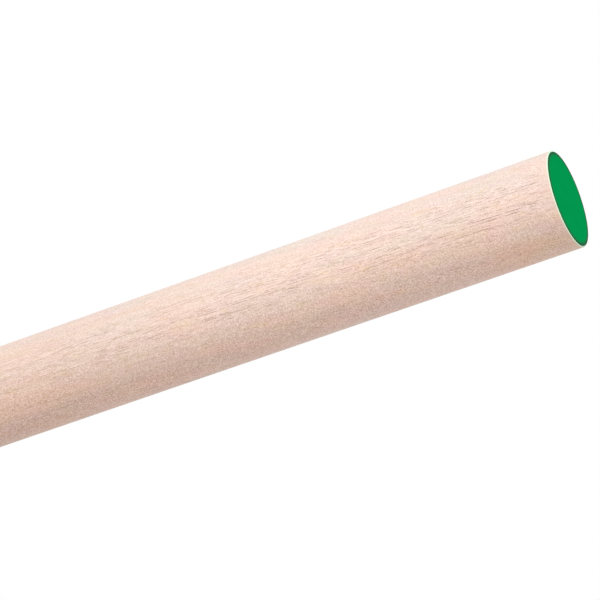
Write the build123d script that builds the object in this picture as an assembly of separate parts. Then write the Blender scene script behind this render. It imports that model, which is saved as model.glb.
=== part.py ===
from build123d import *
import os

# A straight round wooden dowel rod, turned from one stick of pale hardwood and sawn square at
# both ends. One end face carries a coat of green paint, as stock rods are marked by diameter.
# The rod stands on its plain end: Z runs along its axis and the origin is the centre of that end.

# Driving dimensions, in millimetres
INCH = 25.4
ROD_DIAMETER = 1.0 * INCH
ROD_LENGTH = 12.0 * INCH
# The sawn edges are sanded just enough to take the burr off, which leaves a thin bare ring
# of wood around the painted face.
EDGE_RADIUS = 0.3
PAINT_THICKNESS = 0.1
# Wet paint draws back a little at its rim and dries rounded there.
PAINT_RIM_RADIUS = 0.06


def make_rod():
    """The wooden rod: a cylinder with both end edges slightly rounded."""
    stick = Cylinder(
        radius=ROD_DIAMETER / 2,
        height=ROD_LENGTH,
        align=(Align.CENTER, Align.CENTER, Align.MIN),
    )
    sawn_edges = stick.edges().filter_by(GeomType.CIRCLE)
    return fillet(sawn_edges, EDGE_RADIUS)


def make_end_paint():
    """The coat of paint: a thin disc that covers the flat of the top end, inside its rounded edge."""
    coat = Cylinder(
        radius=ROD_DIAMETER / 2 - EDGE_RADIUS,
        height=PAINT_THICKNESS,
        align=(Align.CENTER, Align.CENTER, Align.MIN),
    )
    top_rim = coat.edges().filter_by(GeomType.CIRCLE).sort_by(Axis.Z)[-1]
    return Pos(0, 0, ROD_LENGTH) * fillet(top_rim, PAINT_RIM_RADIUS)


os.makedirs("parts", exist_ok=True)
export_step(make_rod(), "parts/rod.step")
export_step(make_end_paint(), "parts/end_paint.step")
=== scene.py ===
import math

import bpy
import numpy as np
from mathutils import Matrix, Vector, noise


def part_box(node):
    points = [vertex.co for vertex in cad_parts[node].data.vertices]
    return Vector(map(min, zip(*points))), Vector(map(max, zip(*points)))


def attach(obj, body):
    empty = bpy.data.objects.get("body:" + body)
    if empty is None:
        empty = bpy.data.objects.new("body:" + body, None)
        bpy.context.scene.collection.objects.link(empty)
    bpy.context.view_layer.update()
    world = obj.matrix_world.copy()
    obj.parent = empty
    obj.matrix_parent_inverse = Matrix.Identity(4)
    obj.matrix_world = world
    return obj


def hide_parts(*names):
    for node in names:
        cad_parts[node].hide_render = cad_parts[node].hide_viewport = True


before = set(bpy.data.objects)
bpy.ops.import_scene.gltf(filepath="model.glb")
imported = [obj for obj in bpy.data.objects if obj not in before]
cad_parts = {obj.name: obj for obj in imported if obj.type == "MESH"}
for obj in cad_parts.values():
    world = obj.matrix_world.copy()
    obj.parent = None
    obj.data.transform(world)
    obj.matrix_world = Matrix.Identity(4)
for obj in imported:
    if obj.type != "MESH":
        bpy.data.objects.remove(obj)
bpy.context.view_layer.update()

# A straight wooden dowel rod that stands on its plain end. The wood is a pale pinkish hardwood
# with a slightly leaning grain, and the top end face carries a coat of green paint.
# The frame gives the sizes of the rod and the coat. The finer ones are named here. Lengths that end
# in _MM are in millimetres, all others in metres.

MM = 0.001
_, rod_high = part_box("rod")
paint_low, paint_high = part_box("end_paint")
ROD_RADIUS = rod_high.x
ROD_LENGTH = rod_high.z
PAINT_RADIUS = paint_high.x
PAINT_BOTTOM = paint_low.z
PAINT_TOP = paint_high.z
EDGE_RADIUS = ROD_RADIUS - PAINT_RADIUS
PAINT_RIM_RADIUS = 0.06 * MM

# Colours as they look in plain light
LIGHT_WOOD = (253, 229, 218)
DARK_WOOD = (206, 172, 151)
PORE_BROWN = (134, 92, 60)
# Painted highlight: a pale green line on the rounded edge at the painted end
EDGE_HIGHLIGHT = (206, 243, 208)
END_GRAIN_WOOD = (206, 170, 146)
PAINT_GREEN = (2, 150, 78)
PAINT_RIM_GREEN = (44, 92, 66)
FLOOR_WHITE = (222, 222, 222)

# Factors for red, green and blue where the wood is blotched or stained, and for its lit and shaded sides,
# which are painted light and shade
RUSTY_TINT = (1.024, 0.998, 0.984, 1.0)
COOL_TINT = (0.976, 1.002, 1.016, 1.0)
YELLOW_TINT = (0.996, 1.012, 0.99, 1.0)
ROSY_TINT = (1.004, 0.988, 1.01, 1.0)
# Painted shade and light: a warmer tint for the side away from the key light, and a cooler one for the lit
# side
SHADED_SIDE_TINT = (1.03, 0.99, 0.95, 1.0)
LIT_SIDE_TINT = (0.975, 1.005, 1.035, 1.0)
OCHRE_TINT = (0.99, 0.98, 0.9, 1.0)
STAIN_TINT = (0.99, 0.94, 0.84, 1.0)
NO_TINT = (1.0, 1.0, 1.0, 1.0)

# How the fibres run. They lean from the rod's axis towards LEAN_DIRECTION as they rise, most of all
# at the painted end, and straighten out further down.
LEAN_DIRECTION = Vector((0.954, -0.3)).normalized()
LEAN_AT_END = math.tan(math.radians(6.0))
LEAN_FADE_PER_MM = 0.0004
WAVER_MM = 0.55
PITH_AT_MM = LEAN_DIRECTION * 52.0
RING_SPACING_MM = 2.7
ROW_LEAN_SHARE = 0.35
ROW_WAVE_MM = 0.12
VESSEL_SCATTER = 0.75
FIBRE_WIDTH_MM = 0.2
FIBRE_LENGTH_MM = 2.6
FUZZ_WIDTH_MM = 0.32
FUZZ_LENGTH_MM = 0.35
LATE_WOOD_AT = 0.62
END_GRAIN_SHARE = 0.6
END_RING_CONTRAST = 0.14

# How large the paint's clouds, mottle and dark rim are
PAINT_CLOUD_MM = 4.0
PAINT_MOTTLE_MM = 0.6
PAINT_RIM_WIDTH_MM = 1.4
PAINT_BORDER_MM = 0.1

# How rough the surfaces are, and how high their fine relief is
WOOD_ROUGHNESS = 0.62
PORE_DEPTH_MM = 0.03
FIBRE_RELIEF_MM = 0.008
FUZZ_RELIEF_MM = 0.018
RING_RELIEF_MM = 0.004
PAINT_ROUGHNESS = 0.85
PAINT_RELIEF_MM = 0.004


def srgb(colour, alpha=1.0):
    """The linear colour of three levels from 0 to 255, as a screen shows them."""
    levels = [c / 255 for c in colour]
    linear = [c / 12.92 if c <= 0.04045 else ((c + 0.055) / 1.055) ** 2.4 for c in levels]
    return (*linear, alpha)


# Nodes


class Nodes:
    """A node tree to build. Each method adds a node and returns an output of it.

    An input is a number, a tuple or another node's output.
    """

    def __init__(self, tree):
        self.tree = tree

    def add(self, kind, inputs, output=0, **settings):
        node = self.tree.nodes.new("ShaderNode" + kind)
        for name, value in settings.items():
            setattr(node, name, value)
        for key, value in inputs.items():
            self.give(node.inputs[key], value)
        return node.outputs[output]

    def give(self, socket, value):
        if isinstance(value, bpy.types.NodeSocket):
            self.tree.links.new(value, socket)
        else:
            socket.default_value = value

    def math(self, operation, *values):
        return self.add("Math", dict(enumerate(values)), operation=operation)

    def vector(self, operation, *values):
        return self.add("VectorMath", dict(enumerate(values)), operation=operation)

    def total(self, first, *others):
        for other in others:
            first = self.math("ADD", first, other)
        return first

    def times(self, first, *others):
        for other in others:
            first = self.math("MULTIPLY", first, other)
        return first

    def scaled(self, vector, factor):
        return self.add("VectorMath", {"Vector": vector, "Scale": factor}, operation="SCALE")

    def ramp(self, value, low, high, to_low=0.0, to_high=1.0):
        """A smooth step: to_low up to low, and to_high from high on."""
        inputs = dict(enumerate((value, low, high, to_low, to_high)))
        return self.add("MapRange", inputs, interpolation_type="SMOOTHSTEP")

    def mix(self, share, first, second):
        """The colour first where share is 0, and second where it is 1.

        Inputs 6 and 7 are the node's two colours, and output 2 is their mix.
        """
        return self.add("Mix", {0: share, 6: first, 7: second}, 2, data_type="RGBA")

    def noise(self, place, detail=0.0, output="Fac"):
        inputs = {"Vector": place, "Scale": 1.0, "Detail": detail}
        return self.add("TexNoise", inputs, output)

    def swing(self, place, detail=0.0):
        """A noise that swings about zero, mostly within -1 and 1."""
        return self.math("MULTIPLY_ADD", self.noise(place, detail), 4.0, -2.0)

    def parts(self, vector):
        node = self.tree.nodes.new("ShaderNodeSeparateXYZ")
        self.give(node.inputs[0], vector)
        return node.outputs

    def joined(self, x, y, z):
        return self.add("CombineXYZ", {0: x, 1: y, 2: z})


def new_material(name):
    """A material, its nodes and its shader."""
    material = bpy.data.materials.new(name)
    material.use_nodes = True
    tree = material.node_tree
    return material, Nodes(tree), tree.nodes["Principled BSDF"]


def stretched(nodes, grain, across_mm, along_mm, offset=0.0):
    """Coordinates for a pattern whose features are that wide across the fibres and that long along them.

    Each pattern has an offset of its own, so that no two patterns follow each other.
    """
    size = (1 / across_mm, 1 / across_mm, 1 / along_mm)
    shifted = nodes.vector("ADD", grain, (offset, -offset, 2 * offset))
    return nodes.vector("MULTIPLY", shifted, size)


# The wood


def grain_coordinates(nodes, lean_share=1.0):
    """Millimetres that follow the fibres: x and y stay the same along a fibre, and z is the height."""
    place = nodes.scaled(nodes.add("TexCoord", {}, "Object"), 1 / MM)
    x, y, z = nodes.parts(place)
    depth = nodes.math("SUBTRACT", ROD_LENGTH / MM, z)
    slope = nodes.math("MULTIPLY_ADD", depth, -LEAN_FADE_PER_MM / 2, LEAN_AT_END)
    lean = nodes.times(depth, slope, lean_share)
    upright = nodes.joined(
        nodes.math("MULTIPLY_ADD", lean, LEAN_DIRECTION.x, x),
        nodes.math("MULTIPLY_ADD", lean, LEAN_DIRECTION.y, y),
        z,
    )
    waver = nodes.noise(stretched(nodes, upright, 9.0, 30.0), 1.0, "Color")
    centred = nodes.vector("SUBTRACT", waver, (0.5, 0.5, 0.5))
    shift = nodes.vector("MULTIPLY", centred, (4 * WAVER_MM, 4 * WAVER_MM, 0.0))
    return nodes.vector("ADD", upright, shift)


def growth_rings(nodes, grain):
    """Swings with each year's growth: lowest at its start, and highest in the late wood."""
    from_pith = nodes.vector("SUBTRACT", grain, (*PITH_AT_MM, 0.0))
    flat = nodes.vector("MULTIPLY", from_pith, (1.0, 1.0, 0.0))
    distance = nodes.add("VectorMath", {0: flat}, "Value", operation="LENGTH")
    uneven = nodes.swing(stretched(nodes, grain, 7.0, 120.0, 31.0))
    turns = nodes.math("MULTIPLY_ADD", distance, 1 / RING_SPACING_MM, nodes.times(uneven, 0.5))
    season = nodes.math("FRACT", turns)
    return nodes.ramp(nodes.math("PINGPONG", season, LATE_WOOD_AT), 0.1, 0.6, -0.5, 0.5)


def vessels(nodes, grain, spacing_mm, radius_mm, length_mm, offset):
    """Sap vessels: round tubes along the fibres, which the surface cuts open in short dark dashes.

    Returns 1 inside an open tube, and 1 in the sheath of pale wood about it. The gaps change within
    half the spacing, so that each vessel opens and closes on its own.
    """
    cells = nodes.tree.nodes.new("ShaderNodeTexVoronoi")
    cells.voronoi_dimensions = "2D"
    nodes.give(cells.inputs["Vector"], nodes.vector("ADD", grain, (offset, offset, 0.0)))
    nodes.give(cells.inputs["Scale"], 1 / spacing_mm)
    nodes.give(cells.inputs["Randomness"], VESSEL_SCATTER)
    distance = cells.outputs["Distance"]
    width = radius_mm / spacing_mm
    inside = nodes.ramp(distance, width * 0.6, width * 1.2, 1.0, 0.0)
    around = nodes.ramp(distance, width * 1.6, width * 2.8, 1.0, 0.0)
    sheath = nodes.math("SUBTRACT", around, inside)
    gaps = nodes.noise(stretched(nodes, grain, spacing_mm / 2, length_mm, offset))
    opened = nodes.ramp(gaps, 0.4, 0.52, 0.12, 1.0)
    return nodes.times(inside, opened), nodes.times(sheath, opened)


def facing_lean(nodes):
    """1 on the side of the barrel towards which the fibres lean, and -1 on the other side."""
    place = nodes.add("TexCoord", {}, "Object")
    outwards = nodes.vector("NORMALIZE", nodes.vector("MULTIPLY", place, (1.0, 1.0, 0.0)))
    inputs = {0: outwards, 1: (*LEAN_DIRECTION, 0.0)}
    return nodes.add("VectorMath", inputs, "Value", operation="DOT_PRODUCT")


def quarter_sawn_share(nodes, facing):
    """1 where the surface cuts straight down through the growth rings, and 0 where it follows them."""
    return nodes.ramp(nodes.math("ABSOLUTE", facing), 0.2, 0.6, 1.0, 0.0)


def long_fibres(nodes, grain, facing, calm):
    """Fine lines of fibre, which show most on the quarter sawn faces."""
    lines = nodes.swing(stretched(nodes, grain, FIBRE_WIDTH_MM, FIBRE_LENGTH_MM, 29.0), 1.0)
    strength = nodes.math("MULTIPLY_ADD", quarter_sawn_share(nodes, facing), 0.65, 0.35)
    return nodes.times(lines, strength, calm)


def sanded_fuzz(nodes, grain, facing, calm):
    """Specks of raised fibre, the most where the fibres run out of the surface."""
    specks = nodes.swing(stretched(nodes, grain, FUZZ_WIDTH_MM, FUZZ_LENGTH_MM, 23.0), 1.0)
    run_out = nodes.ramp(facing, -0.7, 0.6, 0.66, 0.95)
    rough_side = nodes.ramp(facing, 0.72, 0.95, 0.0, 0.32)
    strength = nodes.math("MULTIPLY_ADD", quarter_sawn_share(nodes, facing), -0.3, 1.0)
    return nodes.times(specks, nodes.total(run_out, rough_side), strength, calm)


def wood_tone(nodes, grain, fuzz, fibres, rings, depth):
    """How light the wood is, from 0, dark, to 1, light. Each pattern's number is how much it counts."""
    broad = nodes.swing(stretched(nodes, grain, 2.6, 90.0, 11.0), 1.0)
    streaks = nodes.swing(stretched(nodes, grain, 0.6, 12.0, 17.0), 2.0)
    return nodes.total(
        0.5,
        nodes.times(broad, 0.03),
        nodes.times(streaks, 0.03),
        nodes.times(fibres, 0.19),
        nodes.times(fuzz, 0.56),
        nodes.times(rings, -0.05),
        # Painted shade: the wood is painted a little lighter near the top end and darker further down
        nodes.ramp(depth, 60.0, 170.0, 0.06, -0.13),
    )


def blotched(nodes, grain, colour, facing):
    """The colour with faint warm and cool blotches. As painted light and shade, the side the key light falls
    on is tinted cooler and the side away from it warmer.
    """
    rusty = nodes.noise(stretched(nodes, grain, 4.4, 18.0, 5.0))
    mossy = nodes.noise(stretched(nodes, grain, 3.0, 9.0, 61.0))
    rusty_tint = nodes.mix(nodes.ramp(rusty, 0.3, 0.7), COOL_TINT, RUSTY_TINT)
    mossy_tint = nodes.mix(nodes.ramp(mossy, 0.3, 0.7), ROSY_TINT, YELLOW_TINT)
    # Painted light and shade: the lit side cooler, the shaded side warmer
    shaded_side_tint = nodes.mix(nodes.ramp(facing, -0.8, 0.95), LIT_SIDE_TINT, SHADED_SIDE_TINT)
    for tint in (rusty_tint, mossy_tint, shaded_side_tint):
        colour = nodes.vector("MULTIPLY", colour, tint)
    return colour


def stained(nodes, grain, colour, facing, depth):
    """The colour with small ochre flecks, and a reddish stain on one side near the painted end."""
    fleck = nodes.ramp(nodes.noise(stretched(nodes, grain, 1.3, 5.0, 83.0), 1.0), 0.62, 0.72)
    uneven = nodes.ramp(nodes.noise(stretched(nodes, grain, 2.0, 4.0, 97.0), 2.0), 0.35, 0.6, 0.45, 1.0)
    stain = nodes.times(nodes.ramp(depth, 8.0, 26.0, 1.0, 0.0), nodes.ramp(facing, 0.62, 0.92), uneven)
    fleck_tint = nodes.mix(fleck, NO_TINT, OCHRE_TINT)
    stain_tint = nodes.mix(stain, NO_TINT, STAIN_TINT)
    return nodes.vector("MULTIPLY", nodes.vector("MULTIPLY", colour, fleck_tint), stain_tint)


def row_coordinates(nodes):
    """The grain's coordinates for the rows of vessels, which lean less than the fibres and waver a little."""
    grain = grain_coordinates(nodes, ROW_LEAN_SHARE)
    wave = nodes.noise(stretched(nodes, grain, 1.5, 6.0, 19.0), 0.0, "Color")
    centred = nodes.vector("SUBTRACT", wave, (0.5, 0.5, 0.5))
    shift = nodes.vector("MULTIPLY", centred, (ROW_WAVE_MM, ROW_WAVE_MM, 0.0))
    return nodes.vector("ADD", grain, shift)


def pore_cover(nodes, grain, facing, depth):
    """1 inside an open vessel, and 1 in its sheath. They stand in rows on the quarter sawn faces.

    They are smeared shut close to the painted end, and they fade further down.
    """
    quarter_sawn = nodes.math("MULTIPLY_ADD", quarter_sawn_share(nodes, facing), 0.8, 0.2)
    patches = nodes.noise(stretched(nodes, grain, 5.0, 50.0, 13.0), 1.0)
    fading = nodes.ramp(depth, 60.0, 180.0, 0.88, 0.62)
    smeared = nodes.ramp(depth, 0.5, 3.5, 0.3, 1.0)
    share = nodes.times(quarter_sawn, nodes.ramp(patches, 0.35, 0.55, 0.75, 1.0), fading, smeared)
    row_grain = row_coordinates(nodes)
    in_rows, sheath = vessels(
        nodes, row_grain, spacing_mm=0.3, radius_mm=0.057, length_mm=1.5, offset=41.0
    )
    between, _ = vessels(nodes, row_grain, spacing_mm=0.34, radius_mm=0.05, length_mm=1.0, offset=73.0)
    between = nodes.times(between, nodes.ramp(depth, 15.0, 110.0, 0.7, 0.45))
    in_rows = nodes.math("MAXIMUM", in_rows, between)
    scattered, _ = vessels(nodes, grain, spacing_mm=0.4, radius_mm=0.07, length_mm=1.2, offset=57.0)
    scattered = nodes.times(scattered, nodes.ramp(facing, 0.6, 0.9, 0.22, 0.45))
    return nodes.math("MAXIMUM", nodes.times(in_rows, share), scattered), nodes.times(sheath, share)


def cut_ends(nodes, colour, rings):
    """The colour with a painted highlight, a pale green line, on the rounded edge at the painted end, and
    with rings of end grain on the plain end.
    """
    upward = nodes.parts(nodes.add("TexCoord", {}, "Normal"))[2]
    rounded = nodes.ramp(nodes.math("ABSOLUTE", upward), 0.1, 0.6)
    # Painted highlight on the rounded top edge, where it catches the light
    top_edge_highlight = nodes.times(rounded, nodes.math("GREATER_THAN", upward, 0.0))
    colour = nodes.mix(top_edge_highlight, colour, srgb(EDGE_HIGHLIGHT))
    end_face = nodes.ramp(nodes.math("MULTIPLY", upward, -1.0), 0.9, 1.0)
    end_grain = nodes.mix(END_GRAIN_SHARE, colour, srgb(END_GRAIN_WOOD))
    season = nodes.math("MULTIPLY_ADD", rings, -END_RING_CONTRAST, 1.0)
    return nodes.mix(end_face, colour, nodes.scaled(end_grain, season))


def make_wood():
    """Bare wood, whose fibres and fuzz are calmer close to the painted end.

    Facing is -1 to 1 from one side of the barrel to the other, and depth is in millimetres below the
    painted end.
    """
    material, nodes, shader = new_material("bare_wood")
    grain = grain_coordinates(nodes)
    facing = facing_lean(nodes)
    rings = growth_rings(nodes, grain)
    depth = nodes.math("SUBTRACT", ROD_LENGTH / MM, nodes.parts(grain)[2])
    calm = nodes.ramp(depth, 0.5, 2.5, 0.3, 1.0)
    fibres = long_fibres(nodes, grain, facing, calm)
    fuzz = sanded_fuzz(nodes, grain, facing, calm)
    pore, sheath = pore_cover(nodes, grain, facing, depth)

    tone = nodes.total(wood_tone(nodes, grain, fuzz, fibres, rings, depth), nodes.times(sheath, 0.25))
    colour = nodes.mix(tone, srgb(DARK_WOOD), srgb(LIGHT_WOOD))
    colour = blotched(nodes, grain, colour, facing)
    colour = stained(nodes, grain, colour, facing, depth)
    colour = nodes.mix(pore, colour, srgb(PORE_BROWN))
    nodes.give(shader.inputs["Base Color"], cut_ends(nodes, colour, rings))

    roughness = nodes.total(WOOD_ROUGHNESS, nodes.times(pore, 0.2), nodes.times(fibres, 0.03))
    nodes.give(shader.inputs["Roughness"], roughness)
    shader.inputs["Specular IOR Level"].default_value = 0.4
    shader.inputs["Sheen Weight"].default_value = 0.3
    shader.inputs["Sheen Roughness"].default_value = 0.5

    height = nodes.total(
        nodes.times(pore, -PORE_DEPTH_MM),
        nodes.times(fibres, FIBRE_RELIEF_MM),
        nodes.times(fuzz, FUZZ_RELIEF_MM),
        nodes.times(rings, RING_RELIEF_MM),
    )
    bump = nodes.add("Bump", {"Strength": 1.0, "Distance": MM, "Height": height})
    nodes.give(shader.inputs["Normal"], bump)
    return material


def make_paint():
    """Matt green paint, a little cloudy and mottled, and darker in a thin rim."""
    material, nodes, shader = new_material("green_paint")
    place = nodes.scaled(nodes.add("TexCoord", {}, "Object"), 1 / MM)
    flat = nodes.vector("MULTIPLY", place, (1.0, 1.0, 0.0))
    radius = nodes.add("VectorMath", {0: flat}, "Value", operation="LENGTH")
    paint_radius_mm = PAINT_RADIUS / MM
    rim = nodes.ramp(radius, paint_radius_mm - PAINT_RIM_WIDTH_MM, paint_radius_mm - PAINT_BORDER_MM)

    cloudy = nodes.swing(nodes.scaled(place, 1 / PAINT_CLOUD_MM), 2.0)
    mottle = nodes.swing(nodes.scaled(place, 1 / PAINT_MOTTLE_MM), 2.0)
    tone = nodes.total(1.0, nodes.times(cloudy, 0.025), nodes.times(mottle, 0.035))
    colour = nodes.mix(rim, srgb(PAINT_GREEN), srgb(PAINT_RIM_GREEN))
    nodes.give(shader.inputs["Base Color"], nodes.scaled(colour, tone))
    nodes.give(shader.inputs["Roughness"], nodes.total(PAINT_ROUGHNESS, nodes.times(mottle, 0.04)))
    shader.inputs["Specular IOR Level"].default_value = 0.0

    height = nodes.times(mottle, PAINT_RELIEF_MM)
    bump = nodes.add("Bump", {"Strength": 1.0, "Distance": MM, "Height": height})
    nodes.give(shader.inputs["Normal"], bump)
    return material


# Meshes


def arc(centre_radius, centre_height, radius, start_deg, end_deg, steps):
    """Profile points on an arc, from one angle above the outward direction to another."""
    angles = np.radians(np.linspace(start_deg, end_deg, steps + 1))
    return [(centre_radius + radius * math.cos(a), centre_height + radius * math.sin(a)) for a in angles]


def turned_mesh(name, profile, around):
    """A closed mesh turned about Z from profile points (radius, height).

    The profile runs from the middle of the bottom to the middle of the top, both at radius 0.
    """
    angles = np.linspace(0, 2 * math.pi, around, endpoint=False) + math.pi / 2
    rings = profile[1:-1]
    points = [(0.0, 0.0, profile[0][1])]
    for radius, height in rings:
        points += [(radius * math.cos(a), radius * math.sin(a), height) for a in angles]
    points.append((0.0, 0.0, profile[-1][1]))
    top = len(points) - 1
    last = top - around
    faces = []
    for i in range(around):
        j = (i + 1) % around
        faces.append((0, 1 + j, 1 + i))
        for ring in range(len(rings) - 1):
            low = 1 + ring * around
            faces.append((low + i, low + j, low + around + j, low + around + i))
        faces.append((last + i, last + j, top))
    mesh = bpy.data.meshes.new(name)
    mesh.from_pydata(points, [], faces)
    mesh.shade_smooth()
    piece = bpy.data.objects.new(name, mesh)
    bpy.context.scene.collection.objects.link(piece)
    return piece


ROD_AROUND = 256
ROD_ALONG = 300
EDGE_STEPS = 5
END_RINGS = 14


def rod_profile():
    """The rod's half section: plain end, barrel and top end, with both edges rounded."""
    flat_radius = ROD_RADIUS - EDGE_RADIUS
    flat = [flat_radius * i / END_RINGS for i in range(END_RINGS)]
    bottom_edge = arc(flat_radius, EDGE_RADIUS, EDGE_RADIUS, -90, 0, EDGE_STEPS)
    top_edge_highlight = arc(flat_radius, ROD_LENGTH - EDGE_RADIUS, EDGE_RADIUS, 0, 90, EDGE_STEPS)
    heights = np.linspace(EDGE_RADIUS, ROD_LENGTH - EDGE_RADIUS, ROD_ALONG + 1)[1:-1]
    barrel = [(ROD_RADIUS, h) for h in heights]
    bottom = [(r, 0.0) for r in flat]
    top = [(flat_radius / 2, ROD_LENGTH), (0.0, ROD_LENGTH)]
    return bottom + bottom_edge + barrel + top_edge_highlight + top


def fibre_place(x_mm, y_mm, z_mm):
    """The point's place among the fibres, as in the wood's material but without its waver."""
    depth = ROD_LENGTH / MM - z_mm
    lean = depth * (LEAN_AT_END - depth * LEAN_FADE_PER_MM / 2)
    return x_mm + lean * LEAN_DIRECTION.x, y_mm + lean * LEAN_DIRECTION.y


RELIEF_MM = 0.03
RIDGE_WIDTH_MM = 1.5
RIDGE_LENGTH_MM = 22
SAW_MARK_MM = 0.02
SAW_PITCH_MM = 1.3
SAW_CURVE_PER_MM = 0.004
SAW_GRIT_MM = 2
TOUCHING_MM = 0.001


def wear_rod_surface(piece):
    """Low ridges along the fibres on the barrel, and faint saw marks in the plain end. All go inwards."""
    for vertex in piece.data.vertices:
        x, y, z = vertex.co / MM
        radius = math.hypot(x, y)
        if radius > ROD_RADIUS / MM - TOUCHING_MM:
            u, v = fibre_place(x, y, z)
            ridge = noise.noise(Vector((u / RIDGE_WIDTH_MM, v / RIDGE_WIDTH_MM, z / RIDGE_LENGTH_MM)))
            sunk = RELIEF_MM * (0.5 - 0.5 * ridge)
            vertex.co.x *= 1 - sunk / radius
            vertex.co.y *= 1 - sunk / radius
        elif z < TOUCHING_MM:
            wave = math.sin(2 * math.pi * (y + SAW_CURVE_PER_MM * x * x) / SAW_PITCH_MM)
            grit = noise.noise(Vector((x / SAW_GRIT_MM, y / SAW_GRIT_MM, 0)))
            vertex.co.z += SAW_MARK_MM * MM * max(0.0, 0.5 + 0.3 * wave + 0.2 * grit)


# The rod's texture map is a square: the barrel unrolled below, and its two end faces above it.

MAP_BARREL_HEIGHT = 0.885
MAP_DISC_RADIUS = 0.055
MAP_DISC_Y = 0.943
MAP_PLAIN_DISC_X = 0.06
MAP_PAINTED_DISC_X = 0.2
MAP_SEAM = 0.0001


def barrel_map_place(co, turn_of_face):
    """Where a corner of a barrel face goes. A corner on the seam stays on its own face's side."""
    turn = math.atan2(co.y, co.x) - math.pi / 2
    turn += 2 * math.pi * round((turn_of_face - turn) / (2 * math.pi))
    around = (turn / (2 * math.pi)) % 1.0
    if around > 1 - MAP_SEAM or around < MAP_SEAM:
        around = round((turn_of_face / (2 * math.pi)) % 1.0)
    return around, MAP_BARREL_HEIGHT * co.z / ROD_LENGTH


def end_map_place(co, centre_x):
    """Where a corner of an end face goes."""
    scale = MAP_DISC_RADIUS / ROD_RADIUS
    return centre_x + co.x * scale, MAP_DISC_Y + co.y * scale


def unroll_rod(piece):
    mesh = piece.data
    layer = mesh.uv_layers.new(name="OFBake")
    low, high = EDGE_RADIUS / 2, ROD_LENGTH - EDGE_RADIUS / 2
    for face in mesh.polygons:
        middle = face.center
        on_barrel = low < middle.z < high
        centre_x = MAP_PLAIN_DISC_X if middle.z < ROD_LENGTH / 2 else MAP_PAINTED_DISC_X
        turn_of_face = math.atan2(middle.y, middle.x) - math.pi / 2
        for loop in face.loop_indices:
            co = mesh.vertices[mesh.loops[loop].vertex_index].co
            if on_barrel:
                layer.data[loop].uv = barrel_map_place(co, turn_of_face)
            else:
                layer.data[loop].uv = end_map_place(co, centre_x)


def make_rod(material):
    rod = turned_mesh("dowel_rod", rod_profile(), ROD_AROUND)
    wear_rod_surface(rod)
    unroll_rod(rod)
    rod.data.materials.append(material)
    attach(rod, "root")
    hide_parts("rod")


PAINT_AROUND = 256
PAINT_RINGS = 40
PAINT_RIM_STEPS = 4
PAINT_EDGE_WEAR_MM = 0.05
PAINT_EDGE_WAVE_MM = 2.2
PAINT_DIP_MM = 0.012
PAINT_DIP_WIDTH_MM = 1.4


def paint_profile():
    """The coat's half section: flat underneath, a low wall, a rounded rim and a flat top."""
    rim_radius = PAINT_RADIUS - PAINT_RIM_RADIUS
    rim_height = PAINT_TOP - PAINT_RIM_RADIUS
    rim = arc(rim_radius, rim_height, PAINT_RIM_RADIUS, 0, 90, PAINT_RIM_STEPS)
    under = [(0.0, PAINT_BOTTOM), (PAINT_RADIUS / 2, PAINT_BOTTOM), (PAINT_RADIUS, PAINT_BOTTOM)]
    top = [(rim[-1][0] * (1 - i / PAINT_RINGS), PAINT_TOP) for i in range(1, PAINT_RINGS + 1)]
    return under + rim + top


def wear_paint_surface(piece):
    """The dry coat has slight dips, and its edge is slightly uneven."""
    for vertex in piece.data.vertices:
        x, y, z = vertex.co / MM
        radius = math.hypot(x, y)
        if radius > PAINT_RADIUS / MM - PAINT_BORDER_MM:
            uneven = 0.5 - 0.5 * noise.noise(Vector((x / PAINT_EDGE_WAVE_MM, y / PAINT_EDGE_WAVE_MM, 7.0)))
            vertex.co.x *= 1 - PAINT_EDGE_WEAR_MM * uneven / radius
            vertex.co.y *= 1 - PAINT_EDGE_WEAR_MM * uneven / radius
        elif z > PAINT_TOP / MM - TOUCHING_MM:
            dip = 0.5 - 0.5 * noise.noise(Vector((x / PAINT_DIP_WIDTH_MM, y / PAINT_DIP_WIDTH_MM, 3.0)))
            vertex.co.z -= PAINT_DIP_MM * MM * dip


def make_end_paint(material):
    paint = turned_mesh("painted_end", paint_profile(), PAINT_AROUND)
    wear_paint_surface(paint)
    paint.data.materials.append(material)
    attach(paint, "root")
    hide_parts("end_paint")


# Floor and light

FLOOR_RADIUS = 6.0
SHADOW_REACH = 0.25
SHADOW_SHARE = 0.6
KEY_COLOUR = (0.92, 1.0, 0.997)
KEY_STRENGTH = 2.15
KEY_ANGLE_DEG = 40
KEY_HEIGHT_DEG = 35
KEY_TURN_DEG = -53
SKY_COLOUR = (1.083, 1.0, 0.996, 1.0)
SKY_STRENGTH = 0.603


def seen_directly(nodes):
    """1 for what the camera sees, also in gloss or through glass."""
    path = nodes.tree.nodes.new("ShaderNodeLightPath").outputs
    seen = nodes.math("MAXIMUM", path["Is Camera Ray"], path["Is Glossy Ray"])
    return nodes.math("MAXIMUM", seen, path["Is Transmission Ray"])


def make_floor():
    """A white floor that shows the rod's shadow close to its foot and plain white further out."""
    bpy.ops.mesh.primitive_circle_add(vertices=128, radius=FLOOR_RADIUS, fill_type="NGON")
    floor = bpy.context.object
    floor.name = "floor"
    material, nodes, shader = new_material("floor_white")
    shader.inputs["Base Color"].default_value = srgb(FLOOR_WHITE)
    shader.inputs["Roughness"].default_value = 0.9
    shader.inputs["Specular IOR Level"].default_value = 0.0
    place = nodes.add("TexCoord", {}, "Object")
    distance = nodes.add("VectorMath", {0: place}, "Value", operation="LENGTH")
    white_share = nodes.ramp(distance, 0.0, SHADOW_REACH, 1 - SHADOW_SHARE, 1.0)
    white = nodes.add("Emission", {"Color": (1, 1, 1, 1), "Strength": 1.0})
    share = nodes.times(seen_directly(nodes), white_share)
    surface = nodes.add("MixShader", {0: share, 1: shader.outputs[0], 2: white})
    nodes.give(nodes.tree.nodes["Material Output"].inputs["Surface"], surface)
    floor.data.materials.append(material)


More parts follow.
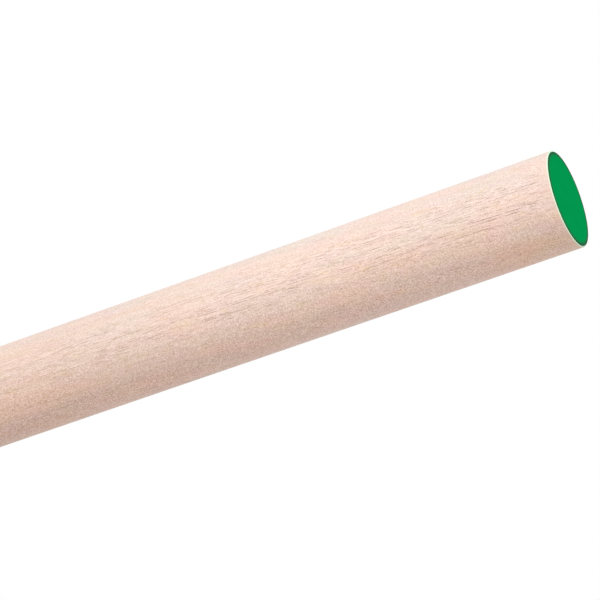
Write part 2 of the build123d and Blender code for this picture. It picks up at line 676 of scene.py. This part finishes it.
def make_sky():
    """Soft light from all round, which the camera sees as plain white."""
    world = bpy.data.worlds.new("sky")
    world.use_nodes = True
    bpy.context.scene.world = world
    nodes = Nodes(world.node_tree)
    seen = seen_directly(nodes)
    colour = nodes.mix(seen, SKY_COLOUR, (1, 1, 1, 1))
    strength = nodes.ramp(seen, 0.0, 1.0, SKY_STRENGTH, 1.0)
    nodes.give(world.node_tree.nodes["Background"].inputs["Color"], colour)
    nodes.give(world.node_tree.nodes["Background"].inputs["Strength"], strength)


def make_key_light():
    """One very soft lamp from the side."""
    light = bpy.data.lights.new("key", "SUN")
    light.color = KEY_COLOUR
    light.energy = KEY_STRENGTH
    light.angle = math.radians(KEY_ANGLE_DEG)
    lamp = bpy.data.objects.new("key", light)
    turn, height = math.radians(KEY_TURN_DEG), math.radians(KEY_HEIGHT_DEG)
    level = math.cos(height)
    towards = Vector((math.sin(turn) * level, -math.cos(turn) * level, math.sin(height)))
    lamp.rotation_euler = towards.to_track_quat("Z", "Y").to_euler()
    lamp.location = towards
    bpy.context.scene.collection.objects.link(lamp)


# Camera. The photo is 600 pixels square. The painted end's centre is at END_PIXEL in it, the
# camera looks down on that end by LOOK_DOWN_DEG and is turned about its own axis by ROLL_DEG.

FRAME_PIXELS = 600
FOCAL_PIXELS = 3147.7
END_PIXEL = (568.34, 198.63)
LOOK_DOWN_DEG = 14.324
ROLL_DEG = 70.775
DISTANCE_IN_DIAMETERS = 30.983
CAMERA_DISTANCE = DISTANCE_IN_DIAMETERS * 2 * ROD_RADIUS
SENSOR_MM = 36.0


def make_camera():
    """The camera that sees the painted end at its pixel of the photo."""
    down, roll = math.radians(LOOK_DOWN_DEG), math.radians(ROLL_DEG)
    forward = Vector((0, math.cos(down), -math.sin(down)))
    upright = Vector((0, math.sin(down), math.cos(down)))
    sideways = Vector((1, 0, 0))
    right = sideways * math.cos(roll) + upright * math.sin(roll)
    up = upright * math.cos(roll) - sideways * math.sin(roll)
    centre = FRAME_PIXELS / 2
    to_end = Vector(((END_PIXEL[0] - centre) / FOCAL_PIXELS, (centre - END_PIXEL[1]) / FOCAL_PIXELS, 1))
    swing = Vector((0, 0, 1)).rotation_difference(to_end).to_matrix()
    axes = swing @ Matrix((right, up, forward))
    data = bpy.data.cameras.new("camera")
    data.sensor_width = SENSOR_MM
    data.lens = SENSOR_MM * FOCAL_PIXELS / FRAME_PIXELS
    camera = bpy.data.objects.new("camera", data)
    turn = Matrix((axes[0], axes[1], -axes[2])).transposed().to_4x4()
    end = Vector((0, 0, PAINT_TOP))
    camera.matrix_world = Matrix.Translation(end - forward * CAMERA_DISTANCE) @ turn
    bpy.context.scene.collection.objects.link(camera)
    bpy.context.scene.camera = camera


make_camera()
make_floor()
make_sky()
make_key_light()
make_rod(make_wood())
make_end_paint(make_paint())

bpy.context.scene.view_settings.view_transform = "Standard"
